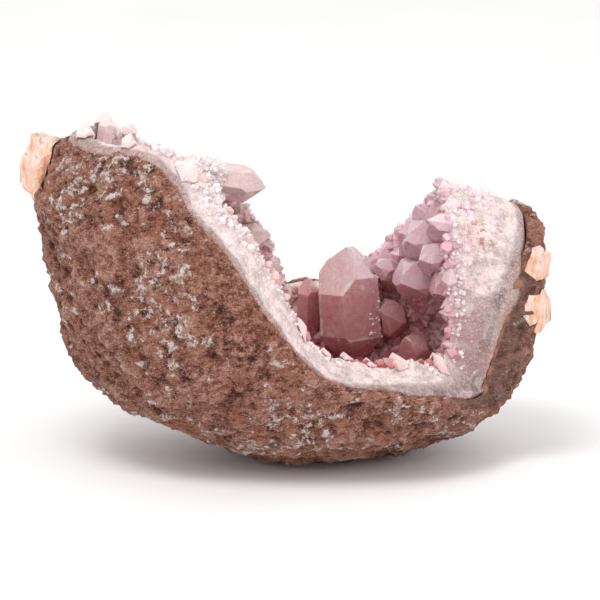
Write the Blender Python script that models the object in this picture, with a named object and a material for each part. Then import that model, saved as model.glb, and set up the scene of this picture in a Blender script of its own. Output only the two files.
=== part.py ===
"""Amethyst geode: a broken bowl of brown volcanic rock, lined with quartz and grown over with crystals.

The wall of the bowl is one lofted family of surfaces, from the outside of the rock to the inside of
the cavity. The rock rind and the quartz lining are two slices of that wall. Every crystal is a
hexagonal prism with a six-sided point, rooted in the wall and trimmed where it meets a neighbour.

All sizes in the tables are millimetres. X runs left to right, Y front to back, Z up.
"""
import math
import random

import bmesh
import bpy
from mathutils import Matrix, Vector, noise

MM = 0.001
GAP = 0.3                  # free space between two pieces that touch, mm
MITRE_LIMIT = 2.5          # most that a sharp edge may move, for each step of the gap

# How far the rock reaches from the bowl's upright axis: height, left, right, front, back.
OUTSIDE = (
    (0.0, 9.0, 14.0, 8.0, 9.0),
    (1.2, 12.5, 18.5, 12.0, 14.0),
    (3.0, 17.5, 24.0, 17.0, 18.0),
    (7.0, 27.0, 33.0, 24.0, 24.0),
    (12.0, 37.5, 39.0, 28.5, 28.5),
    (18.0, 43.5, 42.0, 31.5, 31.5),
    (26.0, 46.5, 44.0, 33.0, 33.5),
    (34.0, 48.0, 45.0, 33.0, 35.0),
    (42.0, 50.0, 45.0, 32.0, 35.0),
    (50.0, 51.0, 43.0, 30.0, 34.0),
    (57.0, 48.5, 40.0, 27.5, 32.0),
    (66.0, 46.5, 38.0, 25.0, 29.0),
)

# The same for the inside of the cavity, from its floor up.
CAVITY = (
    (10.0, 8.0, 14.0, 6.0, 8.0),
    (12.0, 19.0, 22.0, 11.5, 14.0),
    (16.0, 29.0, 27.5, 15.0, 18.5),
    (22.0, 35.5, 29.5, 17.5, 21.5),
    (30.0, 39.5, 28.5, 19.5, 24.0),
    (38.0, 42.0, 27.5, 21.0, 25.0),
    (46.0, 43.5, 26.5, 21.0, 25.0),
    (54.0, 43.5, 25.5, 20.5, 24.0),
    (68.0, 41.0, 24.0, 18.5, 22.0),
)

# The broken rim: azimuth, height of its outer edge, rise from there to its inner edge.
RIM = (
    (0, 43.5, 7.5),
    (10, 45.5, 6.0),
    (20, 45.5, 4.5),
    (33, 43.0, 2.0),
    (50, 38.5, 1.0),
    (62, 32.5, 0.5),
    (72, 28.5, 0.5),
    (85, 26.5, 0.5),
    (100, 26.0, 0.5),
    (106, 37.0, 0.5),
    (120, 45.0, 1.0),
    (135, 49.5, 1.5),
    (150, 55.0, 2.5),
    (165, 58.5, 3.0),
    (180, 59.5, 2.5),
    (192, 60.0, 2.5),
    (213, 59.5, 2.5),
    (225, 55.0, 3.0),
    (234, 48.5, 3.5),
    (247, 41.0, 3.5),
    (255, 34.0, 3.5),
    (265, 26.5, 3.5),
    (276, 20.5, 4.0),
    (285, 18.5, 4.0),
    (299, 17.5, 4.0),
    (317, 15.0, 6.5),
    (330, 12.5, 8.5),
    (342, 11.5, 10.5),
    (347, 40.0, 7.5),
    (360, 43.5, 7.5),
)

OUTLINE_POWER_OUTSIDE = 2.15     # 2 is an ellipse, more is squarer
OUTLINE_POWER_CAVITY = 2.5
RIND = 3.2                       # thickness of the rock rind
FLOOR = 10.0                     # height of the cavity's floor
BASE_CENTRE = (2.5, 0.5)         # middle of the flat that the geode rests on

COLUMN_STEP = 5                  # degrees between the upright rows of points
CLIFFS = (100, 106, 342, 347)    # more of them, where the broken rim drops steeply
ROWS = 10
ROW_CROWDING = 1.7               # more than 1 crowds the rows towards the bottom
FACE_ROWS = 3                    # extra rows across the lining's broken face

ROCK_LUMPS = 1.1                 # depth of the slow swells on the outside
CAVITY_LUMPS = 1.0
FACE_LUMPS = 0.7
LUMP_SIZE = 11.0                 # rough distance from one swell to the next
SWELL_SHIFTS = (Vector((31.4, 7.3, 2.9)), Vector((5.8, 41.2, 17.6)), Vector((11.9, 3.7, 53.5)))

CROP_DIRECTION = Vector((0.12, -0.22, 0.97)).normalized()
POINT_SLOPE = math.radians(51.8)    # between a quartz point's faces and the crystal's length


# Crystals placed by their tips: name, tip, direction, radius, length, and for the large one
# its turn about its length, the distance to its lower point, and how much of its tip is gone.
PINK_CRYSTALS = (
    ("block_crystal", (7.8, 17.5, 39.4), (-0.06, 0.0, 1), 7.3, 26, -6, 28.0, 3.0),
    ("column_crystal", (0.6, 20.0, 30.5), (0.05, -0.1, 1), 2.6, 13),
    ("back_left_point", (-6.4, 17.5, 47.9), (1, -0.15, -0.12), 4.0, 17),
    ("back_left_crystal_1", (-6.2, 20.0, 38.5), (0.85, -0.4, 0.25), 2.8, 11),
    ("back_left_crystal_2", (-3.6, 22.0, 31.5), (0.85, -0.45, 0.3), 2.5, 10),
    ("deep_crystal_1", (18.5, 8.0, 21.5), (-0.4, -0.5, 0.75), 3.8, 12),
    ("deep_crystal_2", (3.0, 6.0, 19.0), (0.1, -0.45, 0.9), 3.0, 9),
    ("deep_crystal_3", (14.0, 11.5, 25.5), (-0.25, -0.75, 0.45), 4.0, 13),
)
VIOLET_CRYSTALS = (
    ("rear_crystal_1", (15.4, 19.5, 36.4), (-0.2, -0.3, 1), 3.0, 12),
    ("rear_crystal_2", (12.9, 13.5, 34.0), (-0.5, -0.7, 0.5), 2.5, 11),
    ("violet_crystal_1", (16.6, 14.5, 40.4), (-0.8, -0.4, 0.4), 4.0, 14),
    ("violet_crystal_2", (20.0, 12.0, 46.4), (-0.6, -0.3, 0.8), 4.2, 14),
    ("violet_crystal_3", (24.5, 7.5, 50.0), (-0.4, -0.3, 0.9), 4.0, 13),
    ("violet_crystal_4", (18.2, 6.5, 39.7), (-0.6, -0.75, 0.15), 4.8, 16),
    ("violet_crystal_5", (22.4, 1.0, 45.0), (-0.6, -0.7, 0.3), 4.6, 15),
    ("violet_crystal_6", (17.4, 4.5, 31.3), (-0.5, -0.85, -0.05), 4.7, 18),
    ("violet_crystal_7", (23.6, -2.0, 30.6), (-0.55, -0.8, -0.15), 3.9, 13),
    ("violet_crystal_8", (20.5, 0.0, 37.0), (-0.65, -0.7, 0.05), 3.7, 14),
)

# Crystals placed by their roots: name, azimuth, share of the cavity's height, how far they
# stand out, radius, and how far they lean inwards for each step up.
WALL_CRYSTALS = (
    ("rim_crystal_1", 162, 1.0, 4.0, 2.4, 0.2),
    ("rim_crystal_2", 190, 1.0, 3.0, 2.0, 0.1),
    ("rim_crystal_3", 203, 1.0, 2.6, 1.9, 0.2),
    ("rim_crystal_4", 221, 1.0, 2.2, 2.6, 0.6),
    ("lip_crystal_1", 266, 1.0, 1.8, 2.0, 0.6),
    ("lip_crystal_2", 280, 1.0, 1.8, 1.8, 0.5),
    ("lip_crystal_3", 292, 1.0, 2.0, 1.9, 0.5),
    ("lip_crystal_4", 304, 1.0, 1.8, 1.8, 0.4),
    ("lip_crystal_5", 318, 1.0, 2.4, 2.2, 0.5),
    ("lip_crystal_6", 333, 1.0, 1.8, 1.9, 0.5),
    ("cavity_crystal_1", 112, 0.6, 6.0, 3.2, 0.9),
    ("cavity_crystal_2", 128, 0.85, 6.0, 3.4, 1.5),
    ("cavity_crystal_3", 145, 0.9, 6.0, 3.6, 1.2),
    ("cavity_crystal_4", 163, 0.85, 6.5, 3.8, 1.4),
    ("cavity_crystal_5", 185, 0.85, 6.0, 3.5, 1.3),
    ("cavity_crystal_6", 208, 0.85, 5.5, 3.2, 1.2),
    ("cavity_crystal_7", 230, 0.8, 5.0, 3.0, 1.2),
    ("cavity_crystal_8", 137, 0.65, 6.5, 3.8, 0.8),
    ("cavity_crystal_9", 158, 0.6, 6.5, 3.6, 0.8),
    ("cavity_crystal_10", 180, 0.6, 7.0, 4.0, 0.8),
    ("cavity_crystal_11", 205, 0.6, 6.0, 3.4, 0.8),
    ("cavity_crystal_12", 235, 0.55, 5.0, 3.0, 0.8),
)
ROOT_DEPTH = 4.0                 # how deep a crystal's root goes into the wall

# Lumps of feldspar on the outside: name, centre, half sizes, number of faces.
FELDSPAR = (
    ("left_feldspar", (-48.8, -2.0, 55.2), (4.3, 6.5, 7.4), 22),
    ("right_feldspar_low", (43.0, -8.6, 29.8), (3.0, 2.5, 4.6), 16),
    ("right_feldspar_high", (43.2, -8.4, 38.2), (2.2, 3.0, 3.2), 14),
)

AZIMUTHS = sorted(set(range(0, 360, COLUMN_STEP)) - {100, 105, 340, 345} | set(CLIFFS))


def between(table, x, column):
    """The value in a table's column at x, on a smooth curve through its rows."""
    last = len(table) - 1
    x = min(max(x, table[0][0]), table[last][0])
    low = max(i for i in range(last) if table[i][0] <= x)
    rows = [table[min(max(low + step, 0), last)] for step in (-1, 0, 1, 2)]
    span = rows[2][0] - rows[1][0]
    t = (x - rows[1][0]) / span
    slopes = []
    for before, after in ((rows[0], rows[2]), (rows[1], rows[3])):
        width = after[0] - before[0]
        slopes.append((after[column] - before[column]) / width * span)
    start, end = rows[1][column], rows[2][column]
    return ((2 * t**3 - 3 * t**2 + 1) * start + (t**3 - 2 * t**2 + t) * slopes[0]
            + (3 * t**2 - 2 * t**3) * end + (t**3 - t**2) * slopes[1])


def straight_between(table, x, column):
    """The value in a table's column at x, on straight lines between its rows."""
    for before, after in zip(table, table[1:]):
        if x <= after[0]:
            t = (x - before[0]) / (after[0] - before[0])
            return before[column] + t * (after[column] - before[column])
    return table[-1][column]


def outline_point(table, power, azimuth, height):
    """The point of a lofted surface at an azimuth in degrees and a height."""
    across, along = math.cos(math.radians(azimuth)), math.sin(math.radians(azimuth))
    reach_x = between(table, height, 2 if across > 0 else 1)
    reach_y = between(table, height, 4 if along > 0 else 3)
    radius = ((abs(across) / reach_x) ** power + (abs(along) / reach_y) ** power) ** (-1 / power)
    return Vector((radius * across, radius * along, height))


def swell(point, depth, size=LUMP_SIZE):
    """A slow displacement of a point, the same on every run, as noise_vector's would not be."""
    place = point / size
    return Vector([noise.noise(place + shift) for shift in SWELL_SHIFTS]) * depth


def outside_point(azimuth, share):
    """A point on the outside of the rock; share runs from 0 at the base to 1 at the rim."""
    height = straight_between(RIM, azimuth, 1) * share ** ROW_CROWDING
    point = outline_point(OUTSIDE, OUTLINE_POWER_OUTSIDE, azimuth, height)
    return point + swell(point, ROCK_LUMPS * min(1.0, height / 6.0))


def cavity_point(azimuth, share):
    """A point on the inside of the cavity; share runs from 0 at the floor to 1 at the rim."""
    top = straight_between(RIM, azimuth, 1) + straight_between(RIM, azimuth, 2)
    height = FLOOR + (top - FLOOR) * share ** ROW_CROWDING
    point = outline_point(CAVITY, OUTLINE_POWER_CAVITY, azimuth, height)
    return point + swell(point, CAVITY_LUMPS, LUMP_SIZE / 2)


def wall_ring(share, depth, from_cavity):
    """One ring of points in the wall, at a depth measured from the outside or from the cavity."""
    ring = []
    for azimuth in AZIMUTHS:
        outer, inner = outside_point(azimuth, share), cavity_point(azimuth, share)
        if from_cavity:
            outer, inner = inner, outer
        ring.append(outer.lerp(inner, depth / (outer - inner).length))
    return ring


def wall_surface(depth, from_cavity):
    """A surface of the wall: its rings from the bottom up, and the point that closes the bottom."""
    rings = [wall_ring(row / ROWS, depth, from_cavity) for row in range(ROWS + 1)]
    height = FLOOR - depth if from_cavity else depth
    return rings, Vector((*BASE_CENTRE, height))


def face_rings(outer, inner, count):
    """Rings across the broken face, between two rims, roughened."""
    rings = []
    for step in range(1, count + 1):
        ring = [a.lerp(b, step / (count + 1)) for a, b in zip(outer, inner)]
        rings.append([point + swell(point, FACE_LUMPS, LUMP_SIZE / 3) for point in ring])
    return rings


def lining_face():
    """The rings across the lining's broken face, from its seam with the rock to the cavity."""
    seam, cavity = wall_ring(1.0, RIND + GAP, False), wall_ring(1.0, 0.0, True)
    return face_rings(seam, cavity, FACE_ROWS)


def bowl_mesh(name, outer, face, inner):
    """A closed bowl between two wall surfaces, with the rings of its broken face between them.

    A surface is split along the same diagonals whether it is a bowl's outside or its inside, so
    that the rind and the lining face each other with an even gap.
    """
    (outer_rings, outer_pole), (inner_rings, inner_pole) = outer, inner
    rings = outer_rings + face + inner_rings[::-1]
    bm = bmesh.new()
    verts = [[bm.verts.new(point * MM) for point in ring] for ring in rings]
    columns = len(AZIMUTHS)
    poles = [bm.verts.new(pole * MM) for pole in (outer_pole, inner_pole)]
    for row, (lower, upper) in enumerate(zip(verts, verts[1:])):
        for i in range(columns):
            j = (i + 1) % columns
            if row < len(outer_rings):
                bm.faces.new((lower[i], lower[j], upper[j]))
                bm.faces.new((lower[i], upper[j], upper[i]))
            else:
                bm.faces.new((lower[i], lower[j], upper[i]))
                bm.faces.new((lower[j], upper[j], upper[i]))
    for i in range(columns):
        j = (i + 1) % columns
        bm.faces.new((poles[0], verts[0][j], verts[0][i]))
        bm.faces.new((poles[1], verts[-1][i], verts[-1][j]))
    return finished_mesh(name, bm)


def finished_mesh(name, bm):
    """A mesh datablock from a bmesh, triangulated and facing out."""
    bmesh.ops.triangulate(bm, faces=bm.faces[:])
    bmesh.ops.recalc_face_normals(bm, faces=bm.faces[:])
    mesh = bpy.data.meshes.new(name)
    bm.to_mesh(mesh)
    bm.free()
    return mesh


def add_object(name, mesh, finish):
    """A named object with its own material."""
    obj = bpy.data.objects.new(name, mesh)
    bpy.context.scene.collection.objects.link(obj)
    mesh.materials.append(finish)
    return obj


def material(name, colour, roughness, transmission=0.0):
    """A plain Principled material."""
    finish = bpy.data.materials.new(name)
    finish.use_nodes = True
    shader = finish.node_tree.nodes["Principled BSDF"]
    shader.inputs["Base Color"].default_value = (*colour, 1.0)
    shader.inputs["Roughness"].default_value = roughness
    shader.inputs["Metallic"].default_value = 0.0
    shader.inputs["Transmission Weight"].default_value = transmission
    return finish


def hide_cutter(obj):
    """Marks an object as a cutter, which is no piece of the geode."""
    obj.hide_render = True
    obj.display_type = "WIRE"
    return obj


def cut_away(obj, cutter):
    """Trims an object by a cutter."""
    trim = obj.modifiers.new("trim_" + cutter.name, "BOOLEAN")
    trim.operation = "DIFFERENCE"
    trim.solver = "EXACT"
    trim.use_self = True
    trim.object = cutter


def wall_cutter():
    """The whole wall, grown by the gap, which trims whatever is rooted in the wall."""
    seams = [wall_ring(1.0, RIND, False), wall_ring(1.0, RIND + GAP, False)]
    mesh = bowl_mesh("wall_cutter", wall_surface(0.0, False), seams + lining_face(),
                     wall_surface(0.0, True))
    bm = bmesh.new()
    bm.from_mesh(mesh)
    bm.normal_update()
    moves = [vert.normal * min(vert.calc_shell_factor(), MITRE_LIMIT) * GAP * MM for vert in bm.verts]
    for vert, move in zip(bm.verts, moves):
        vert.co += move
    bm.to_mesh(mesh)
    bm.free()
    return hide_cutter(add_object("wall_cutter", mesh, material("cutter", (0.5, 0.5, 0.5), 1.0)))


def polyhedron(name, planes, size):
    """A convex solid: a cube of the given size cut by planes, each a normal and a distance, in mm."""
    bm = bmesh.new()
    bmesh.ops.create_cube(bm, size=size)
    for normal, distance in planes:
        cut = bmesh.ops.bisect_plane(
            bm, geom=bm.verts[:] + bm.edges[:] + bm.faces[:], dist=1e-5,
            plane_co=normal * distance, plane_no=normal, clear_outer=True)
        edges = [item for item in cut["geom_cut"] if isinstance(item, bmesh.types.BMEdge)]
        if edges:
            bmesh.ops.contextual_create(bm, geom=edges)
    bmesh.ops.scale(bm, vec=(MM, MM, MM), verts=bm.verts[:])
    return finished_mesh(name, bm)


def quartz_planes(radius, length, spin, seed, stub, crop, grow):
    """The faces of one quartz crystal, whose point is at the origin and whose root is below it.

    The six sides and the six faces of the point stand in and out a little, so that no two
    crystals are alike. A stub above 0 gives the lower end a point too, that far below the tip,
    and a crop above 0 cuts that much off the tip, on the skew.
    """
    rng = random.Random(seed)
    planes = []
    flat = radius * math.cos(math.pi / 6)
    for side in range(6):
        angle = math.radians(60 * side + spin)
        out = Vector((math.cos(angle), math.sin(angle), 0))
        planes.append((out, flat * rng.uniform(0.86, 1.06) + grow))
        steep = out * math.sin(POINT_SLOPE) + Vector((0, 0, math.cos(POINT_SLOPE)))
        set_back = (0.0 if side % 2 else 0.14) * radius + rng.uniform(0.0, 0.12) * radius
        planes.append((steep, grow - set_back))
        if stub:
            under = out * math.sin(POINT_SLOPE) - Vector((0, 0, math.cos(POINT_SLOPE)))
            planes.append((under, stub * math.cos(POINT_SLOPE) + grow))
    planes.append((Vector((0, 0, -1)), length + grow))
    if crop:
        planes.append((CROP_DIRECTION, grow - crop))
    return planes


def upright_to(direction):
    """The turn that takes +Z to a direction."""
    return Vector((0, 0, 1)).rotation_difference(Vector(direction)).to_matrix().to_4x4()


class CrystalGrower:
    """Grows crystals one after another, each trimmed by the wall and by those before it."""

    def __init__(self, wall):
        self.wall = wall
        self.grown = []

    def grow(self, name, finish, tip, direction, radius, length, spin=0.0, stub=0.0, crop=0.0):
        seed = sum(ord(letter) * (place + 1) for place, letter in enumerate(name))
        size = 4 * (length + radius)
        place = Matrix.Translation(Vector(tip) * MM) @ upright_to(direction)
        mesh = polyhedron(name, quartz_planes(radius, length, spin, seed, stub, crop, 0.0), size)
        crystal = add_object(name, mesh, finish)
        crystal.matrix_world = place
        cut_away(crystal, self.wall)
        axis = Vector(direction).normalized()
        middle = Vector(tip) - axis * length / 2
        reach = length / 2 + radius
        for other_middle, other_reach, planes, other_size, other_place, other_name in self.grown:
            if (other_middle - middle).length < reach + other_reach:
                cut_away(crystal, self.cutter(planes, other_size, other_place, other_name))
        grown_planes = quartz_planes(radius, length, spin, seed, stub, crop, GAP)
        self.grown.append((middle, reach, grown_planes, size, place, name))
        return crystal

    def cutter(self, planes, size, place, name):
        cutter_name = name + "_cutter"
        if cutter_name in bpy.data.objects:
            return bpy.data.objects[cutter_name]
        mesh = polyhedron(cutter_name, planes, size)
        obj = hide_cutter(add_object(cutter_name, mesh, self.wall.material_slots[0].material))
        obj.matrix_world = place
        return obj


def clear_scene():
    for obj in list(bpy.data.objects):
        bpy.data.objects.remove(obj, do_unlink=True)


def lump(name, finish, wall, centre, half_sizes, faces):
    """An angular lump of mineral on the outside of the rock, trimmed where it meets the rock."""
    rng = random.Random(faces)
    planes = []
    for i in range(faces):
        up = 1 - (2 * i + 1) / faces
        angle = i * math.pi * (3 - math.sqrt(5)) + rng.uniform(-0.3, 0.3)
        level = math.sqrt(1 - up * up)
        normal = Vector((level * math.cos(angle), level * math.sin(angle), up))
        reach = Vector([n * half for n, half in zip(normal, half_sizes)]).length
        planes.append((normal, reach * rng.uniform(0.85, 1.0)))
    obj = add_object(name, polyhedron(name, planes, 4 * max(half_sizes)), finish)
    obj.location = Vector(centre) * MM
    cut_away(obj, wall)
    return obj


def centre_on_origin(frame):
    """Moves the geode so that the middle of its underside is at the world's origin."""
    graph = bpy.context.evaluated_depsgraph_get()
    corners = []
    for obj in bpy.data.objects:
        if obj.type == "MESH" and not obj.hide_render:
            shape = obj.evaluated_get(graph)
            corners += [shape.matrix_world @ vert.co for vert in shape.data.vertices]
    lowest = [min(corner[axis] for corner in corners) for axis in range(3)]
    highest = [max(corner[axis] for corner in corners) for axis in range(3)]
    frame.location = (-(lowest[0] + highest[0]) / 2, -(lowest[1] + highest[1]) / 2, -lowest[2])


def add_bowl(rock, quartz):
    """The rock rind, and inside it the quartz lining."""
    rind = bowl_mesh("rock_rind", wall_surface(0.0, False), [], wall_surface(RIND, False))
    lining = bowl_mesh("quartz_lining", wall_surface(RIND + GAP, False), lining_face(),
                       wall_surface(0.0, True))
    add_object("rock_rind", rind, rock)
    add_object("quartz_lining", lining, quartz)


def add_free_crystals(grower, crystals, finish):
    """Crystals placed by their tips."""
    for name, tip, direction, radius, length, *shape in crystals:
        grower.grow(name, finish, tip, direction, radius, length, *shape)


def add_wall_crystals(grower, finish):
    """Crystals placed by where they root in the cavity's wall."""
    for name, azimuth, share, stand_out, radius, lean in WALL_CRYSTALS:
        angle = math.radians(azimuth)
        inwards = Vector((-math.cos(angle), -math.sin(angle), 0))
        direction = (inwards * lean + Vector((0, 0, 1))).normalized()
        tip = cavity_point(azimuth, share) + direction * stand_out
        grower.grow(name, finish, tip, direction, radius, stand_out + ROOT_DEPTH)


def main():
    clear_scene()
    add_bowl(material("brown_volcanic_rock", (0.25, 0.12, 0.09), 0.9),
             material("pale_banded_quartz", (0.82, 0.70, 0.70), 0.45))
    wall = wall_cutter()
    grower = CrystalGrower(wall)
    amethyst = material("pink_amethyst", (0.62, 0.30, 0.34), 0.12, 0.4)
    add_free_crystals(grower, PINK_CRYSTALS, amethyst)
    add_free_crystals(grower, VIOLET_CRYSTALS,
                      material("violet_amethyst", (0.60, 0.38, 0.50), 0.15, 0.4))
    add_wall_crystals(grower, amethyst)
    feldspar = material("orange_feldspar", (0.85, 0.45, 0.24), 0.5)
    for name, centre, half_sizes, faces in FELDSPAR:
        lump(name, feldspar, wall, centre, half_sizes, faces)
    frame = bpy.data.objects.new("geode", None)
    for obj in list(bpy.context.scene.collection.objects):
        obj.parent = frame
    bpy.context.scene.collection.objects.link(frame)
    centre_on_origin(frame)


main()
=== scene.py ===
"""Looks of the amethyst geode: rock, banded quartz, thousands of small crystals, and the large ones.

Lengths are millimetres up to the floor, light and camera section, which is in metres. Every random
draw is seeded, and only the noise functions that give the same value on every run are used. The
triangulate operator still puts the faces of the large crystals and lumps in a new order each run.
"""

import math
import random

import bmesh
import bpy
from mathutils import Matrix, Vector, noise
from mathutils.bvhtree import BVHTree


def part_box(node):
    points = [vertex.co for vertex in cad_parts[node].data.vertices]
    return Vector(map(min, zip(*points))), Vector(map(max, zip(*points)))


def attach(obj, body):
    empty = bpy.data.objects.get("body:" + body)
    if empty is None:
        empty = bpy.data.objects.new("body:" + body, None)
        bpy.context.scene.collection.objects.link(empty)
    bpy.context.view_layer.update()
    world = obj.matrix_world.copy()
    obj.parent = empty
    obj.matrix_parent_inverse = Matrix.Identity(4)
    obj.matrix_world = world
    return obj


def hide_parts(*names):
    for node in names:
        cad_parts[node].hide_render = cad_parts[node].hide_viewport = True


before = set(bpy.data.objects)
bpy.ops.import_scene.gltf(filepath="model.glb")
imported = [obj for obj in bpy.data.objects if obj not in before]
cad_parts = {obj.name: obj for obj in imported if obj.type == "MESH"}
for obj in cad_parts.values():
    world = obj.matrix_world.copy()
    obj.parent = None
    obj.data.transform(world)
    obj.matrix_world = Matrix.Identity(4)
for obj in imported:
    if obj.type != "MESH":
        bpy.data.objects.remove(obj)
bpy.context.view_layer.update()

MM = 0.001                         # one millimetre, in the frame's metres
SEED = 7

ROCK_VOXEL = 0.58                  # size of the fine meshes' cells
LINING_VOXEL = 0.55
FACET_STEP = 0.8                   # longest edge on a large crystal's faces
CRYSTAL_BEVEL = 0.22               # worn edges
CRYSTAL_RIPPLE = 0.045             # growth steps on the faces
FELDSPAR_BEVEL = 1.3
FELDSPAR_RIPPLE = 0.24
FELDSPAR_WARP = 0.8
DRUSE_TILT = 0.38                  # how unevenly small crystals lean, and the frost below
FROST_TILT = 0.7

TOUCHING = 0.75                    # rock and lining that are nearer than this meet each other
INNER_DEPTH = 2.5                  # the cavity's surface is at least this far from the rock
LEFT_EDGE = -38.0                  # the slope and the low lip of the broken rim, from left to right
LIP_END = 22.0

GLOW_RADIUS = (1.0, 0.72, 0.72)    # light spreads almost evenly, so small crystals keep their red
GLOW_SCALE = 0.0012                # metres, as the shader wants it
QUARTZ_IOR = 1.54

# Linear colours.
ROCK_DARK = (0.072, 0.025, 0.017)
ROCK_BROWN = (0.225, 0.082, 0.055)
ROCK_LIGHT = (0.43, 0.185, 0.130)
ROCK_PALE = (0.61, 0.37, 0.29)
ROCK_RED = (0.38, 0.130, 0.060)
CHALK = (0.80, 0.71, 0.67)
SEAM = (0.60, 0.31, 0.22)
CHALCEDONY = (0.34, 0.23, 0.225)
CHALCEDONY_DARK = (0.17, 0.105, 0.095)
CHALCEDONY_PALE = (0.58, 0.44, 0.43)
QUARTZ_WHITE = (0.84, 0.735, 0.705)
SMOKY = (0.42, 0.25, 0.25)
SUGAR = (0.92, 0.755, 0.73)
ROSE = (0.76, 0.235, 0.25)
ROSE_PALE = (0.86, 0.60, 0.60)
# painted shade for the low cavity
ROSE_PAINTED_SHADE = (0.42, 0.050, 0.062)
ROSE_SOFT = (0.78, 0.52, 0.53)
LILAC = (0.87, 0.50, 0.62)
LILAC_PALE = (0.92, 0.73, 0.77)
CREST = (0.98, 0.86, 0.85)
CROWN = (0.94, 0.70, 0.76)
RUST = (0.42, 0.19, 0.10)
PEACH = (0.86, 0.50, 0.35)
PEACH_DEEP = (0.62, 0.25, 0.11)
PEACH_PALE = (0.85, 0.66, 0.58)
PEACH_GREY = (0.55, 0.36, 0.33)
PEACH_GRAIN = (0.92, 0.74, 0.66)
PEACH_PIT = (0.40, 0.17, 0.10)
CHALK_BRIGHT = (0.88, 0.80, 0.76)
SMOKE = (0.50, 0.40, 0.385)
BLUSH = (0.86, 0.62, 0.66)
GLINT = (0.96, 0.92, 0.91)
STREAK_DARK = (0.50, 0.42, 0.42)
STREAK_PALE = (1.0, 0.98, 0.97)
CRYSTAL_TIP = (0.93, 0.85, 0.85)
CRYSTAL_SHADE = (0.82, 0.58, 0.60)
MILK = (0.92, 0.84, 0.84)
# paler worn edges, partly painted edge highlight
WORN_EDGE_HIGHLIGHT = (0.95, 0.80, 0.81)
SUGAR_GRAIN = (0.93, 0.84, 0.84)


def clamp(x, low=0.0, high=1.0):
    return min(max(x, low), high)


def smooth_step(low, high, x):
    t = clamp((x - low) / (high - low))
    return t * t * (3 - 2 * t)


def blend_colours(a, b, share):
    return tuple(p + (q - p) * share for p, q in zip(a, b))


# ---------------------------------------------------------------- geometry read from the frame

def node_points(name):
    """A CAD node's points and triangles, in millimetres."""
    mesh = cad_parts[name].data
    mesh.calc_loop_triangles()
    points = [vert.co / MM for vert in mesh.vertices]
    return points, [tuple(triangle.vertices) for triangle in mesh.loop_triangles]


def tree_of(name):
    return BVHTree.FromPolygons(*node_points(name))


ROCK_TREE = tree_of("rock_rind")
LINING_TREE = tree_of("quartz_lining")
AXIS = Vector((3.0, 0.0, 0.0))    # the upright axis that the bowl's wall goes round
RUST_PLACE = Vector((36.0, -9.0, 44.0))   # a rusty crack high on the right broken face


def inwardness(point, normal):
    """How far a surface faces the middle of the cavity: 1 straight at it, -1 straight away."""
    out = Vector((point.x - AXIS.x, point.y - AXIS.y, 0.0))
    if out.length < 1e-6:
        return normal.z
    return -normal.dot(out.normalized())


def cavity_share(point, normal, depth):
    """1 on the inside of the cavity, 0 on the broken face and the outside."""
    if depth < INNER_DEPTH:
        return 0.0
    facing = smooth_step(-0.02, 0.28, inwardness(point, normal))
    floor = smooth_step(0.6, 0.9, normal.z) * smooth_step(17.5, 14.5, point.z) if point.z < 17.5 else 0.0
    return max(facing, floor) * smooth_step(INNER_DEPTH, 4.0, depth)


def amethyst_colour(point):
    """The colour that the crystals have at a place in the geode, with painted shade that darkens it lower
    in the cavity.
    """
    violet = smooth_step(6, 18, point.x) * smooth_step(25, 36, point.z)
    # Painted shade: deeper, darker red lower in the cavity, where shade falls.
    deep = smooth_step(30, 17, point.z) if point.z < 30 else 0.0
    colour = blend_colours(ROSE, LILAC, violet)
    colour = blend_colours(colour, ROSE_PAINTED_SHADE, 0.75 * deep)
    left_rim = smooth_step(30, 48, point.z) * (1.0 - smooth_step(-4, 6, point.x))
    colour = blend_colours(colour, ROSE_SOFT, 0.6 * smooth_step(26, 31, point.x))
    left_wall = 0.75 * smooth_step(16, 26, point.z) * (1.0 - smooth_step(0, 5, point.x))
    rim = max(smooth_step(46, 58, point.z), left_rim, left_wall)
    return blend_colours(colour, SUGAR, 0.8 * rim)


def band_stretch(point):
    """How fast the bands pass from rock to white quartz: quickly on the slope and high on the right."""
    slope = (1.0 - smooth_step(10, LIP_END, point.x)) * smooth_step(LEFT_EDGE, -28, point.x)
    right = smooth_step(28, 34, point.x)
    high = smooth_step(26, 40, point.z)
    return 1.0 + 2.4 * slope + right * (1.1 * high - 0.45 * (1.0 - high))


# ---------------------------------------------------------------- meshes

def add_piece(name, mesh, material, slot, *nodes):
    """A piece of the geode that rides on its body and may stand for CAD nodes."""
    obj = bpy.data.objects.new(name, mesh)
    bpy.context.scene.collection.objects.link(obj)
    mesh.materials.clear()
    mesh.materials.append(material)
    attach(obj, "root")
    if nodes:
        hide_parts(*nodes)
    return obj


def remeshed(name, node, voxel, smoothing):
    """A fine, even mesh of a CAD node's shape, its facets softened."""
    source = bpy.data.objects.new(name + "_source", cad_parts[node].data.copy())
    bpy.context.scene.collection.objects.link(source)
    fine = source.modifiers.new("fine", "REMESH")
    fine.mode = "VOXEL"
    fine.voxel_size = voxel * MM
    soft = source.modifiers.new("soft", "SMOOTH")
    soft.iterations = smoothing
    soft.factor = 0.5
    graph = bpy.context.evaluated_depsgraph_get()
    mesh = bpy.data.meshes.new_from_object(source.evaluated_get(graph))
    bpy.data.objects.remove(source)
    mesh.name = name
    return mesh


def set_values(mesh, name, values):
    attribute = mesh.attributes.new(name, "FLOAT", "POINT")
    attribute.data.foreach_set("value", values)


def set_colours(mesh, name, colours):
    attribute = mesh.color_attributes.new(name, "FLOAT_COLOR", "POINT")
    attribute.data.foreach_set("color", [part for colour in colours for part in (*colour, 1.0)])


def move_points(mesh, moves):
    """Moves a mesh's points along their normals, keeping the flat underside flat."""
    normals = [vert.normal.copy() for vert in mesh.vertices]
    for vert, normal, move in zip(mesh.vertices, normals, moves):
        vert.co += normal * move * MM
        vert.co.z = max(vert.co.z, 0.0)
    mesh.update()


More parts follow.
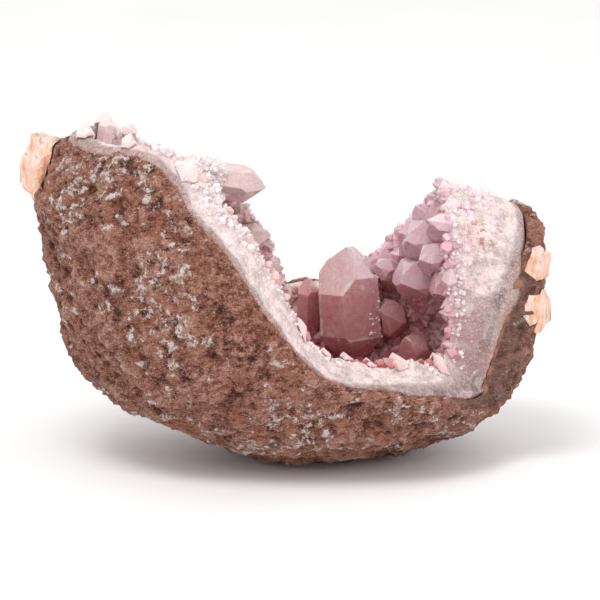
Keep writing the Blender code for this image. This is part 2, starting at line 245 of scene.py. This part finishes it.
def chalk_at(point):
    """How chalky the rock is at a point: broad patches, with veins and flecks in them."""
    patch = noise.noise(point / 15.0 + Vector((3.1, 0.0, 7.7)))
    vein = 1 - abs(noise.noise(point / 5.5 + Vector((9.2, 4.4, 0.0)))) * 2.2
    stretched = Vector((point.x * 0.8, point.y * 0.8, point.z * 1.25))
    fleck = noise.fractal(stretched / 2.8 + Vector((1.7, 8.3, 2.2)), 0.8, 2.1, 3)
    return clamp(0.28 + 0.60 * patch + 0.12 * vein + 0.65 * fleck)


def smoky_at(point):
    """The smoky patch low on the right broken face, beside the cavity."""
    across = smooth_step(28, 31, point.x) * (1.0 - smooth_step(35, 40, point.x))
    return across * smooth_step(15, 20, point.z) * (1.0 - smooth_step(30, 37, point.z))


def rock_mesh():
    mesh = remeshed("rock", "rock_rind", ROCK_VOXEL, 6)
    moves, chalks, seams, painted_relief_shade, shades = [], [], [], [], []
    for vert in mesh.vertices:
        point = vert.co / MM
        found, _, _, distance = LINING_TREE.find_nearest(point)
        hidden = distance < TOUCHING and vert.normal.dot((found - point).normalized()) > 0.5
        seams.append(1.0 - smooth_step(0.25, 0.62, distance))
        low_right = smooth_step(26, 34, point.x) * smooth_step(44, 34, point.z)
        shades.append(low_right * (1.0 - smooth_step(1.5, 4.0, distance)))
        chalk = chalk_at(point)
        chalks.append(chalk)
        if hidden:
            moves.append(0.0)
            painted_relief_shade.append(0.5)
            continue
        lumps = noise.fractal(point / 5.2, 0.9, 2.1, 3)
        grains = noise.fractal(Vector((point.x, point.y, point.z * 1.6)) / 1.4, 0.6, 2.0, 2)
        pits = smooth_step(0.25, 0.60, noise.noise(point / 2.4 + Vector((5.5, 1.1, 9.9))))
        ridge = 1.0 - 2.0 * abs(noise.noise(Vector((point.x * 0.8, point.y, point.z * 1.3)) / 4.3))
        move = 0.85 * lumps + 0.48 * grains - 0.50 * pits + 0.45 * (ridge - 0.5)
        move += 0.22 * smooth_step(0.5, 0.8, chalk)
        move *= smooth_step(0.0, 1.2, point.z) * (0.35 + 0.65 * smooth_step(0.3, 1.6, distance))
        moves.append(move)
        # Painted shade and light: darker in the hollows and pits, paler on the lumps and ridges,
        # following the mesh's own relief.
        painted_relief_shade.append(clamp(0.50 + 0.20 * lumps + 0.42 * grains - 0.45 * pits + 0.16 * (ridge - 0.5)))
    move_points(mesh, moves)
    set_values(mesh, "chalk", chalks)
    set_values(mesh, "seam", seams)
    set_values(mesh, "shade", shades)
    set_values(mesh, "height", painted_relief_shade)
    mesh.shade_smooth()
    return mesh


def lining_mesh():
    mesh = remeshed("lining", "quartz_lining", LINING_VOXEL, 3)
    moves, depths, seams, cavities, roots, tints, rusts, smokes = [], [], [], [], [], [], [], []
    for vert in mesh.vertices:
        point = vert.co / MM
        root, _, _, depth = ROCK_TREE.find_nearest(point)
        cavity = cavity_share(point, vert.normal, depth)
        depths.append(depth * band_stretch(point))
        seams.append(1.0 - smooth_step(0.35, TOUCHING, depth))
        cavities.append(cavity)
        roots += [*root]
        rusts.append(1.0 - smooth_step(2.0, 5.0, (point - RUST_PLACE).length))
        smokes.append(smoky_at(point))
        # The crystals' colour, with its painted shade low in the cavity.
        tints.append(amethyst_colour(point))
        if depth < 0.5:
            moves.append(0.0)
            continue
        streaks = noise.fractal(root / 0.9 + point / 9.0, 0.7, 2.0, 2)
        chips = noise.fractal(point / 2.4 + Vector((8.8, 2.0, 4.1)), 0.8, 2.1, 3)
        sugar = noise.voronoi(point / 1.5)[0][0]
        broken = 0.16 * streaks + 0.30 * chips
        moves.append(broken * (1 - cavity) + (0.35 - 0.8 * sugar) * cavity)
    move_points(mesh, moves)
    set_values(mesh, "depth", depths)
    set_values(mesh, "seam", seams)
    set_values(mesh, "cavity", cavities)
    set_values(mesh, "rust", rusts)
    set_values(mesh, "smoky", smokes)
    set_colours(mesh, "tint", tints)
    attribute = mesh.attributes.new("root", "FLOAT_VECTOR", "POINT")
    attribute.data.foreach_set("vector", roots)
    return mesh


def crystal_shape(rng, radius, height):
    """The corners and faces of one small quartz crystal standing on its root."""
    top = radius * rng.uniform(1.0, 1.5)
    points, faces = [], []
    skew = Vector((rng.uniform(-0.25, 0.25), rng.uniform(-0.25, 0.25), 0.0)) * radius
    for level in (-0.6 * radius, height - top):
        for side in range(6):
            angle = math.radians(60 * side)
            reach = radius * (0.86 if level < 0 else 1.0)
            shift = rng.uniform(-0.16, 0.16) * radius if level > 0 else 0.0
            points.append(Vector((math.cos(angle) * reach, math.sin(angle) * reach, level + shift)))
    points.append(Vector((0.0, 0.0, height)) + skew)
    for side in range(6):
        after = (side + 1) % 6
        faces.append((side, after, after + 6))
        faces.append((side, after + 6, side + 6))
        faces.append((side + 6, after + 6, 12))
    faces += [(0, after + 1, after) for after in range(1, 5)]
    return points, faces


def druse_mesh(name, rng, spots, tilt):
    """Many small crystals on a surface.

    A spot is a place, an outward normal, a radius, a height and a colour.
    """
    points, faces, colours, tips = [], [], [], []
    for place, normal, radius, height, colour in spots:
        lean = Vector((rng.gauss(0, tilt), rng.gauss(0, tilt), rng.gauss(0, tilt)))
        axis = (normal + lean).normalized()
        turn = Vector((0, 0, 1)).rotation_difference(axis).to_matrix().to_4x4()
        turn = Matrix.Translation(place) @ turn @ Matrix.Rotation(rng.uniform(0, math.tau), 4, "Z")
        corners, sides = crystal_shape(rng, radius, height)
        start = len(points)
        points += [turn @ corner * MM for corner in corners]
        faces += [tuple(start + corner for corner in side) for side in sides]
        shade = rng.uniform(0.86, 1.12)
        root_colour = tuple(clamp(part * shade) for part in colour)
        tip_colour = blend_colours(root_colour, CRYSTAL_TIP, 0.3)
        colours += [root_colour] * 6 + [tip_colour] * 7
        tips += [0.0] * 6 + [1.0] * 7
    mesh = bpy.data.meshes.new(name)
    mesh.from_pydata(points, [], faces)
    mesh.update()
    set_colours(mesh, "tint", colours)
    set_values(mesh, "tip", tips)
    return mesh


def surface_spots(rng, node, count, weight):
    """Seeded places on a CAD node's surface, thinned to the share that the weight gives."""
    points, triangles = node_points(node)
    patches, total = [], 0.0
    for a, b, c in triangles:
        pa, pb, pc = points[a], points[b], points[c]
        cross = (pb - pa).cross(pc - pa)
        total += cross.length / 2
        patches.append((total, pa, pb, pc, cross.normalized()))
    spots = []
    step = total / count
    marker, index = rng.uniform(0, step), 0
    while marker < total:
        while patches[index][0] < marker:
            index += 1
        _, pa, pb, pc, normal = patches[index]
        u, v = rng.random(), rng.random()
        if u + v > 1:
            u, v = 1 - u, 1 - v
        place = pa + (pb - pa) * u + (pc - pa) * v
        if rng.random() < weight(place, normal):
            spots.append((place, normal))
        marker += step
    return spots


def facets_mesh(name, node, bevel, ripple, warp=0.0):
    """A large crystal or lump with worn edges and faintly uneven faces; warp makes its shape uneven."""
    bm = bmesh.new()
    bm.from_mesh(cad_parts[node].data)
    bmesh.ops.remove_doubles(bm, verts=bm.verts[:], dist=2e-6)
    bmesh.ops.dissolve_limit(bm, angle_limit=math.radians(1.5), verts=bm.verts[:], edges=bm.edges[:])
    bm.normal_update()
    sharp = [edge for edge in bm.edges if edge.is_manifold and edge.calc_face_angle(0.0) > 0.3]
    bmesh.ops.bevel(bm, geom=sharp, offset=bevel * MM, segments=1, affect="EDGES", clamp_overlap=True)
    bmesh.ops.triangulate(bm, faces=bm.faces[:])
    for _ in range(5):
        long_edges = [edge for edge in bm.edges if edge.calc_length() > FACET_STEP * MM]
        if not long_edges:
            break
        bmesh.ops.subdivide_edges(bm, edges=long_edges, cuts=1)
        bmesh.ops.triangulate(bm, faces=bm.faces[:])
    bm.normal_update()
    moves = []
    for vert in bm.verts:
        point = vert.co / MM
        wave = noise.noise(Vector((point.x / 2.4, point.y / 2.4, point.z / 0.9)))
        steps = noise.noise(point / 1.1 + Vector((4.0, 9.0, 1.0)))
        lump = noise.noise(point / 3.2 + Vector((2.0, 6.0, 8.0))) - 0.25
        moves.append(vert.normal * ((wave + 0.6 * steps) * ripple + lump * warp) * MM)
    for vert, move in zip(bm.verts, moves):
        vert.co += move
    mesh = bpy.data.meshes.new(name)
    bm.to_mesh(mesh)
    bm.free()
    return mesh


def colour_crystal(mesh, top_face_highlight, milkiness):
    """Gives a large crystal its colour: deep at the root and pale towards its tip, with painted highlight
    on its upward faces.
    """
    lowest = min(vert.co.z for vert in mesh.vertices) / MM
    highest = max(vert.co.z for vert in mesh.vertices) / MM
    colours, tips = [], []
    for vert in mesh.vertices:
        point = vert.co / MM
        _, _, _, distance = LINING_TREE.find_nearest(point)
        out = smooth_step(0.5, 7.0, distance)
        rise = clamp((point.z - lowest) / (highest - lowest))
        cloud = 0.5 + 0.5 * noise.noise(point / 3.5)
        # The term on upward faces is a painted highlight: paler where a face looks up at the light.
        tip = 0.26 * out + 0.14 * rise + 0.26 * cloud + top_face_highlight * smooth_step(0.25, 0.6, vert.normal.z)
        tip = clamp(tip + milkiness)
        # amethyst_colour carries painted shade low in the cavity.
        colour = amethyst_colour(point)
        pale = LILAC_PALE if colour[2] > colour[1] * 1.18 else ROSE_PALE
        if milkiness > 0.4:
            pale = SUGAR
        colours.append(blend_colours(colour, pale, tip))
        tips.append(tip)
    set_colours(mesh, "tint", colours)
    set_values(mesh, "tip", tips)


# ---------------------------------------------------------------- materials

class Finish:
    """A Principled material and short ways to add the nodes that drive it."""

    def __init__(self, name):
        self.material = bpy.data.materials.new(name)
        self.material.use_nodes = True
        self.nodes = self.material.node_tree.nodes
        self.links = self.material.node_tree.links
        self.shader = self.nodes["Principled BSDF"]
        place = self.add("ShaderNodeTexCoord").outputs["Object"]
        self.place = self.scaled(place, (1 / MM, 1 / MM, 1 / MM))

    def add(self, kind, **settings):
        node = self.nodes.new(kind)
        for name, value in settings.items():
            setattr(node, name, value)
        return node

    def plug(self, socket, value):
        if isinstance(value, bpy.types.NodeSocket):
            self.links.new(value, socket)
        else:
            socket.default_value = value

    def scaled(self, vector, scale, turn=(0, 0, 0)):
        node = self.add("ShaderNodeMapping")
        self.plug(node.inputs["Vector"], vector)
        node.inputs["Scale"].default_value = scale
        node.inputs["Rotation"].default_value = turn
        return node.outputs["Vector"]

    def noise(self, scale, detail=3.0, roughness=0.55, vector=None, distortion=0.0):
        node = self.add("ShaderNodeTexNoise")
        self.plug(node.inputs["Vector"], vector or self.place)
        node.inputs["Scale"].default_value = scale
        node.inputs["Detail"].default_value = detail
        node.inputs["Roughness"].default_value = roughness
        node.inputs["Distortion"].default_value = distortion
        return node.outputs["Fac"]

    def cells(self, scale):
        node = self.add("ShaderNodeTexVoronoi", feature="F1")
        self.plug(node.inputs["Vector"], self.place)
        node.inputs["Scale"].default_value = scale
        return node.outputs["Distance"]

    def value(self, name):
        return self.add("ShaderNodeAttribute", attribute_name=name).outputs["Fac"]

    def colour(self, name):
        return self.add("ShaderNodeAttribute", attribute_name=name).outputs["Color"]

    def vector(self, name):
        return self.add("ShaderNodeAttribute", attribute_name=name).outputs["Vector"]

    def ramp(self, fac, *stops):
        node = self.add("ShaderNodeValToRGB")
        self.plug(node.inputs["Fac"], fac)
        band = node.color_ramp
        while len(band.elements) < len(stops):
            band.elements.new(0.5)
        for element, (position, colour) in zip(band.elements, stops):
            element.position = position
            element.color = (*colour, 1.0)
        return node.outputs["Color"]

    def window(self, fac, low, high, out_low=0.0, out_high=1.0):
        node = self.add("ShaderNodeMapRange", interpolation_type="SMOOTHSTEP")
        self.plug(node.inputs["Value"], fac)
        node.inputs["From Min"].default_value = low
        node.inputs["From Max"].default_value = high
        node.inputs["To Min"].default_value = out_low
        node.inputs["To Max"].default_value = out_high
        return node.outputs["Result"]

    def combine(self, operation, a, b):
        node = self.add("ShaderNodeMath", operation=operation)
        self.plug(node.inputs[0], a)
        self.plug(node.inputs[1], b)
        return node.outputs["Value"]

    def plus(self, a, b):
        return self.combine("ADD", a, b)

    def times(self, a, b):
        return self.combine("MULTIPLY", a, b)

    def mix(self, fac, a, b, mode="MIX"):
        node = self.add("ShaderNodeMix", data_type="RGBA", blend_type=mode)
        self.plug(node.inputs["Factor"], fac)
        for socket, value in ((node.inputs[6], a), (node.inputs[7], b)):
            self.plug(socket, value if isinstance(value, bpy.types.NodeSocket) else (*value, 1.0))
        return node.outputs[2]

    def bump(self, height, distance, strength=1.0, before=None):
        node = self.add("ShaderNodeBump")
        self.plug(node.inputs["Height"], height)
        node.inputs["Distance"].default_value = distance * MM
        node.inputs["Strength"].default_value = strength
        if before is not None:
            self.plug(node.inputs["Normal"], before)
        return node.outputs["Normal"]

    def finish(self, colour, roughness, normal, **constants):
        self.plug(self.shader.inputs["Base Color"], colour)
        self.plug(self.shader.inputs["Roughness"], roughness)
        self.plug(self.shader.inputs["Normal"], normal)
        self.shader.inputs["Subsurface Radius"].default_value = GLOW_RADIUS
        for name, value in constants.items():
            self.shader.inputs[name.replace("_", " ")].default_value = value
        return self.material


def rock_finish():
    f = Finish("brown_volcanic_rock")
    fibres_place = f.scaled(f.place, (0.8, 1.0, 2.2), (0.3, 0.5, 0.2))
    fibres = f.noise(1.9, 3.0, 0.75, fibres_place, 0.5)
    grains = f.noise(3.1, 2.0, 0.7)
    blotches = f.noise(0.16, 3.0, 0.6)
    mottle = f.noise(0.85, 4.0, 0.7, None, 0.5)
    body = f.plus(f.times(fibres, 0.55), f.times(grains, 0.50))
    body = f.plus(body, f.times(mottle, 0.45))
    # Painted shade and light: the height attribute darkens the rock's hollows and lightens its lumps.
    body = f.plus(body, f.times(f.value("height"), 0.34))
    body = f.combine("SUBTRACT", body, 0.385)
    colour = f.ramp(body, (0.37, ROCK_DARK), (0.46, ROCK_BROWN), (0.57, ROCK_LIGHT), (0.70, ROCK_PALE))
    red = f.times(f.window(blotches, 0.45, 0.62), f.window(mottle, 0.42, 0.62, 0.0, 0.6))
    colour = f.mix(red, colour, ROCK_RED)
    patches = f.window(f.value("chalk"), 0.40, 0.58)
    specks = f.window(f.noise(0.62, 7.0, 0.80), 0.515, 0.565)
    dust = f.times(f.window(f.noise(1.9, 4.0, 0.75), 0.61, 0.68), 0.75)
    chalk = f.combine("MAXIMUM", f.times(patches, specks), dust)
    # Painted shade: dark spots standing in for the shade in the rock's pits.
    pits = f.window(f.noise(1.5, 5.0, 0.8, fibres_place), 0.42, 0.33)
    colour = f.mix(f.times(pits, 0.75), colour, ROCK_DARK)
    colour = f.mix(chalk, colour, f.mix(grains, CHALK, CHALK_BRIGHT))
    colour = f.mix(f.times(f.value("shade"), 0.6), colour, CHALCEDONY_DARK)
    seam = f.times(f.value("seam"), f.window(f.noise(0.5, 3.0, 0.6), 0.38, 0.56, 0.1, 0.85))
    colour = f.mix(seam, colour, SEAM)
    rough = f.window(grains, 0.3, 0.7, 0.72, 0.95)
    bumps = f.bump(f.plus(fibres, f.times(grains, 0.8)), 0.60, 1.0)
    bumps = f.bump(f.noise(6.5, 2.0, 0.6), 0.16, 0.8, bumps)
    return f.finish(colour, rough, bumps, Specular_IOR_Level=0.28)


def lining_finish():
    f = Finish("pale_banded_quartz")
    root = f.vector("root")
    wobble = f.times(f.noise(0.32, 4.0, 0.7), 4.0)
    depth = f.plus(f.value("depth"), f.combine("SUBTRACT", wobble, 1.9))
    bands = f.ramp(f.window(depth, 0.0, 10.0),
                   (0.03, CHALCEDONY_DARK), (0.17, CHALCEDONY), (0.30, CHALCEDONY_PALE),
                   (0.42, QUARTZ_WHITE), (0.80, SUGAR))
    bands = f.mix(f.times(f.value("seam"), 0.7), bands, SEAM)
    columns = f.noise(1.7, 3.0, 0.7, root)
    streak = f.window(columns, 0.34, 0.66)
    dark = f.mix(0.55, bands, f.mix(streak, STREAK_DARK, STREAK_PALE), "MULTIPLY")
    outer = f.window(f.value("depth"), 2.0, 6.0, 1.0, 0.12)
    face = f.mix(outer, bands, dark)
    clouds = f.noise(0.22, 5.0, 0.7, None, 0.7)
    wisps = f.noise(0.7, 5.0, 0.75, f.scaled(f.place, (1.0, 1.0, 0.5), (0.2, 0.5, 0.0)), 0.8)
    smoke = f.plus(f.window(clouds, 0.60, 0.38, 0.0, 0.60), f.window(wisps, 0.54, 0.38, 0.0, 0.5))
    face = f.mix(smoke, face, SMOKE)
    face = f.mix(f.window(clouds, 0.52, 0.68, 0.0, 0.6), face, BLUSH)
    patchy = f.window(f.noise(0.45, 5.0, 0.75), 0.38, 0.60, 0.25, 0.95)
    smoky = f.times(f.value("smoky"), patchy)
    face = f.mix(smoky, face, SMOKY)
    glints = f.window(f.noise(2.4, 4.0, 0.8), 0.54, 0.68, 0.0, 0.6)
    face = f.mix(glints, face, GLINT)
    rust = f.times(f.value("rust"), f.window(f.noise(0.8, 4.0, 0.7), 0.50, 0.60))
    face = f.mix(rust, face, RUST)
    sugar = f.window(f.cells(0.9), 0.15, 0.75)
    inside = f.mix(f.times(sugar, 0.4), f.colour("tint"), SUGAR_GRAIN)
    colour = f.mix(f.value("cavity"), face, inside)
    rough = f.window(clouds, 0.35, 0.65, 0.30, 0.55)
    bumps = f.bump(f.plus(columns, f.noise(1.6, 4.0, 0.65)), 0.35, 0.8)
    bumps = f.bump(f.cells(2.6), 0.12, 0.6, bumps)
    return f.finish(colour, rough, bumps, Specular_IOR_Level=0.5, Subsurface_Weight=0.25,
                    Subsurface_Scale=GLOW_SCALE)


def crystal_finish(name, milk, glass, glow, worn_and_lit_edges):
    """Translucent quartz coloured by the tint attribute.

    Milk is how cloudy it is, glass how clear, glow how much light spreads inside it, and the
    last makes its outward corners paler, partly as wear and partly as painted edge highlight.
    """
    f = Finish(name)
    clouds = f.noise(0.5, 4.0, 0.6, None, 0.8)
    upright = f.scaled(f.place, (1.0, 1.0, 0.35), (0.4, 0.2, 0.0))
    veils = f.window(f.noise(1.3, 4.0, 0.7, upright), 0.52, 0.74)
    shade = f.window(clouds, 0.35, 0.7, 0.0, 0.4)
    colour = f.mix(shade, f.colour("tint"), CRYSTAL_SHADE, "MULTIPLY")
    colour = f.mix(f.times(veils, milk), colour, MILK)
    if worn_and_lit_edges:
        # Paler outward edges: partly worn quartz, partly painted edge highlight.
        edges = f.add("ShaderNodeNewGeometry").outputs["Pointiness"]
        worn = f.times(f.window(edges, 0.525, 0.62), f.window(clouds, 0.3, 0.6, 0.3, 0.8))
        colour = f.mix(worn, colour, WORN_EDGE_HIGHLIGHT)
    rough = f.window(clouds, 0.3, 0.7, 0.12, 0.34)
    growth = f.noise(1.0, 3.0, 0.6, f.scaled(f.place, (0.8, 0.8, 5.0)))
    bumps = f.bump(growth, 0.07, 0.6)
    bumps = f.bump(f.noise(2.2, 3.0, 0.6), 0.06, 0.5, bumps)
    return f.finish(colour, rough, bumps, IOR=QUARTZ_IOR, Transmission_Weight=glass,
                    Subsurface_Weight=glow, Subsurface_Scale=GLOW_SCALE)


def feldspar_finish():
    f = Finish("orange_feldspar")
    clouds = f.noise(0.45, 4.0, 0.6)
    grains = f.noise(2.2, 4.0, 0.7)
    stripes = f.noise(0.30, 4.0, 0.6, f.scaled(f.place, (2.2, 1.0, 0.5)))
    colour = f.ramp(stripes, (0.34, PEACH_GREY), (0.44, PEACH_PALE), (0.54, PEACH), (0.70, PEACH_DEEP))
    colour = f.mix(f.window(grains, 0.50, 0.75, 0.0, 0.5), colour, PEACH_GRAIN)
    colour = f.mix(f.times(f.window(grains, 0.42, 0.30), 0.35), colour, PEACH_PIT)
    rough = f.window(grains, 0.3, 0.7, 0.34, 0.6)
    bumps = f.bump(f.plus(clouds, grains), 0.25, 0.7)
    return f.finish(colour, rough, bumps, Subsurface_Weight=0.15, Subsurface_Scale=0.001)


# ---------------------------------------------------------------- the geode

NODES = sorted(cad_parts)
CRYSTALS = [name for name in NODES if "crystal" in name or name == "back_left_point"]
FELDSPARS = [name for name in NODES if "feldspar" in name]

LARGE = crystal_finish("clear_amethyst", 0.40, 0.30, 0.25, True)
PINK = crystal_finish("druse_amethyst", 0.30, 0.20, 0.25, False)
FROST = crystal_finish("sugary_quartz", 0.55, 0.06, 0.35, False)

add_piece("rock", rock_mesh(), rock_finish(), "rock", "rock_rind")
add_piece("lining", lining_mesh(), lining_finish(), "quartz", "quartz_lining")

STRONG_TOP_HIGHLIGHT = 0.55                    # how much painted highlight a crystal's upward faces get
FAINT_TOP_HIGHLIGHT = 0.15
MILKINESS = {"rim": 0.6, "lip": 0.42, "back": 0.6, "violet": 0.22}
for name in CRYSTALS:
    shape = facets_mesh("grown_" + name, name, CRYSTAL_BEVEL, CRYSTAL_RIPPLE)
    family = name.split("_")[0]
    top_face_highlight = STRONG_TOP_HIGHLIGHT if name == "block_crystal" else FAINT_TOP_HIGHLIGHT
    colour_crystal(shape, top_face_highlight, MILKINESS.get(family, 0.0))
    slot_name = "violet_amethyst" if family in ("violet", "rear") else "pink_amethyst"
    finish = FROST if family in ("rim", "lip") else LARGE
    add_piece("grown_" + name, shape, finish, slot_name, name)

FELDSPAR = feldspar_finish()
for name in FELDSPARS:
    shape = facets_mesh("worn_" + name, name, FELDSPAR_BEVEL, FELDSPAR_RIPPLE, FELDSPAR_WARP)
    add_piece("worn_" + name, shape, FELDSPAR, "feldspar", name)


def rock_depth(place):
    return ROCK_TREE.find_nearest(place)[3]


def cavity_weight(place, normal):
    return 1.0 if cavity_share(place, normal, rock_depth(place)) > 0.5 else 0.0


def cavity_tree():
    """The inside of the cavity only."""
    points, triangles = node_points("quartz_lining")
    inside = []
    for a, b, c in triangles:
        middle = (points[a] + points[b] + points[c]) / 3
        normal = (points[b] - points[a]).cross(points[c] - points[a]).normalized()
        if cavity_weight(middle, normal) > 0.5:
            inside.append((a, b, c))
    return BVHTree.FromPolygons(points, inside)


CAVITY_TREE = cavity_tree()


def rim_weight(place, normal):
    """The inner edge of the broken face, where the druse comes over it."""
    if rock_depth(place) < INNER_DEPTH or cavity_weight(place, normal) > 0.5:
        return 0.0
    return 1.0 - smooth_step(1.2, 4.0, CAVITY_TREE.find_nearest(place)[3])


def crest_weight(place, normal):
    """The high rim on the left, where larger pale crystals stand."""
    return rim_weight(place, normal) * smooth_step(40, 50, place.z) * (1.0 - smooth_step(-8, -2, place.x))


def crown_weight(place, normal):
    """The top of the right wall, knobbly with crystals up to the rock."""
    if rock_depth(place) < 2.0 or cavity_weight(place, normal) > 0.5 or place.x < 12.0:
        return 0.0
    patchy = smooth_step(-0.35, 0.25, noise.noise(place / 4.0))
    return smooth_step(40.5, 47.0, place.z + 0.35 * (30.0 - place.x)) * patchy


def root_weight(place, normal):
    """The rooted half of the crystal that points across the cavity."""
    return 1.0 - smooth_step(-12.5, -10.5, place.x)


def dressed(rng, spots, small, large, sink, colour_of):
    """Gives each spot a radius, a height and a colour, and sinks it by a share of its radius."""
    made = []
    for place, normal in spots:
        radius = small + (large - small) * rng.random() ** 2
        sunk = place - normal * radius * sink
        made.append((sunk, normal, radius, radius * rng.uniform(1.5, 2.3), colour_of(place)))
    return made


RNG = random.Random(SEED)
CAVITY_SPOTS = surface_spots(RNG, "quartz_lining", 7500, cavity_weight)
RIM_SPOTS = surface_spots(RNG, "quartz_lining", 22000, rim_weight)
CREST_SPOTS = surface_spots(RNG, "quartz_lining", 26000, crest_weight)
ROOT_SPOTS = surface_spots(RNG, "back_left_point", 600, root_weight)
CROWN_SPOTS = surface_spots(RNG, "quartz_lining", 16000, crown_weight)


def rim_colour(place):
    """The edge of the broken face takes on some of the colour of the crystals beside it."""
    right = smooth_step(10, 20, place.x) * smooth_step(20, 30, place.z)
    return blend_colours(SUGAR, LILAC_PALE, 0.8 * right)


def crest_colour(place):
    return CREST


def crown_colour(place):
    return CROWN


def frost_colour(place):
    return LILAC_PALE


def in_lilac(place):
    """Whether a place is in the violet part of the cavity, high on the right."""
    return place.x > 12.0 and place.z > 27.0


LILAC_SPOTS = [spot for spot in CAVITY_SPOTS if in_lilac(spot[0])]
ROSE_SPOTS = [spot for spot in CAVITY_SPOTS if not in_lilac(spot[0])]
# Name, spots, smallest and largest radius, sink, colour, slot and finish.
DRUSES = (
    # amethyst_colour carries painted shade low in the cavity.
    ("druse_cavity", ROSE_SPOTS, 0.7, 1.7, 0.45, amethyst_colour, "pink_amethyst", PINK),
    ("druse_lilac", LILAC_SPOTS, 0.8, 1.9, 0.45, amethyst_colour, "violet_amethyst", PINK),
    ("druse_rim", RIM_SPOTS, 0.3, 0.75, 0.75, rim_colour, "quartz", FROST),
    ("druse_crest", CREST_SPOTS, 0.35, 1.0, 0.6, crest_colour, "quartz", FROST),
    ("druse_root", ROOT_SPOTS, 0.4, 0.9, 0.6, crest_colour, "quartz", FROST),
    ("druse_crown", CROWN_SPOTS, 0.6, 1.5, 0.95, crown_colour, "violet_amethyst", FROST),
)
for name, spots, small, large, sink, colour_of, slot_name, finish in DRUSES:
    shape = druse_mesh(name, RNG, dressed(RNG, spots, small, large, sink, colour_of), DRUSE_TILT)
    add_piece(name, shape, finish, slot_name)


def frost_weight(place, normal):
    """The sugary frost on the block crystal: its right edge, and patches low on its front."""
    low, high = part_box("block_crystal")
    across = (place.x * MM - low.x) / (high.x - low.x)
    up = (place.z * MM - low.z) / (high.z - low.z)
    if normal.y > 0.3 or up > 0.8:
        return 0.0
    clumps = smooth_step(0.0, 0.35, noise.noise(place / 1.6))
    edge = smooth_step(0.70, 0.92, across)
    patch = smooth_step(0.25, 0.5, noise.noise(place / 3.4)) * (1.0 - smooth_step(0.3, 0.6, up))
    return max(edge, patch) * clumps


FROST_SPOTS = surface_spots(RNG, "block_crystal", 3600, frost_weight)
frosted = dressed(RNG, FROST_SPOTS, 0.12, 0.3, 0.5, frost_colour)
frost = druse_mesh("druse_frost", RNG, frosted, FROST_TILT)
add_piece("druse_frost", frost, FROST, "quartz")


# ---------------------------------------------------------------- floor, light and camera, in metres

FLOOR_HALF = 6.0
CENTRE = (0.0, 0.0, 0.03)
CAMERA_TARGET = Vector((0.0026, 0.0, 0.0294))
CAMERA_DISTANCE = 0.80
CAMERA_RISE = math.radians(12.0)
VIEW_WIDTH = 0.1136                # what the picture takes in at the target
SENSOR_WIDTH = 36.0                # millimetres, as the lens is

def floor_finish():
    f = Finish("white_floor")
    clouds = f.noise(0.02, 2.0)
    colour = f.ramp(clouds, (0.3, (0.93, 0.93, 0.93)), (0.7, (0.95, 0.95, 0.95)))
    return f.finish(colour, f.window(clouds, 0.3, 0.7, 0.5, 0.6), f.bump(clouds, 0.05, 0.1))


def add_floor():
    bm = bmesh.new()
    bmesh.ops.create_grid(bm, x_segments=24, y_segments=24, size=FLOOR_HALF)
    mesh = bpy.data.meshes.new("floor")
    bm.to_mesh(mesh)
    bm.free()
    mesh.materials.append(floor_finish())
    floor = bpy.data.objects.new("floor", mesh)
    bpy.context.scene.collection.objects.link(floor)


def aim(obj, target):
    obj.rotation_euler = (Vector(target) - obj.location).to_track_quat("-Z", "Y").to_euler()


def add_light(name, place, target, size, power):
    lamp = bpy.data.lights.new(name, "AREA")
    lamp.shape = "DISK"
    lamp.size = size
    lamp.energy = power
    obj = bpy.data.objects.new(name, lamp)
    obj.location = place
    bpy.context.scene.collection.objects.link(obj)
    aim(obj, target)


def add_camera():
    lens = bpy.data.cameras.new("camera")
    camera = bpy.data.objects.new("camera", lens)
    outward = Vector((0.0, -math.cos(CAMERA_RISE), math.sin(CAMERA_RISE)))
    camera.location = CAMERA_TARGET + outward * CAMERA_DISTANCE
    lens.sensor_width = SENSOR_WIDTH
    lens.lens = SENSOR_WIDTH * CAMERA_DISTANCE / VIEW_WIDTH
    lens.clip_start = 0.05
    lens.clip_end = 20.0
    bpy.context.scene.collection.objects.link(camera)
    aim(camera, CAMERA_TARGET)
    bpy.context.scene.camera = camera


def add_world():
    world = bpy.data.worlds.new("studio")
    world.use_nodes = True
    background = world.node_tree.nodes["Background"]
    background.inputs["Color"].default_value = (1.0, 0.99, 0.985, 1.0)
    background.inputs["Strength"].default_value = 0.95
    bpy.context.scene.world = world


add_floor()
add_world()
add_light("key", (-0.18, -0.32, 0.78), CENTRE, 0.40, 2.8)
add_light("fill", (0.5, -0.45, 0.35), CENTRE, 0.4, 0.7)
add_camera()
bpy.context.scene.view_settings.view_transform = "Standard"
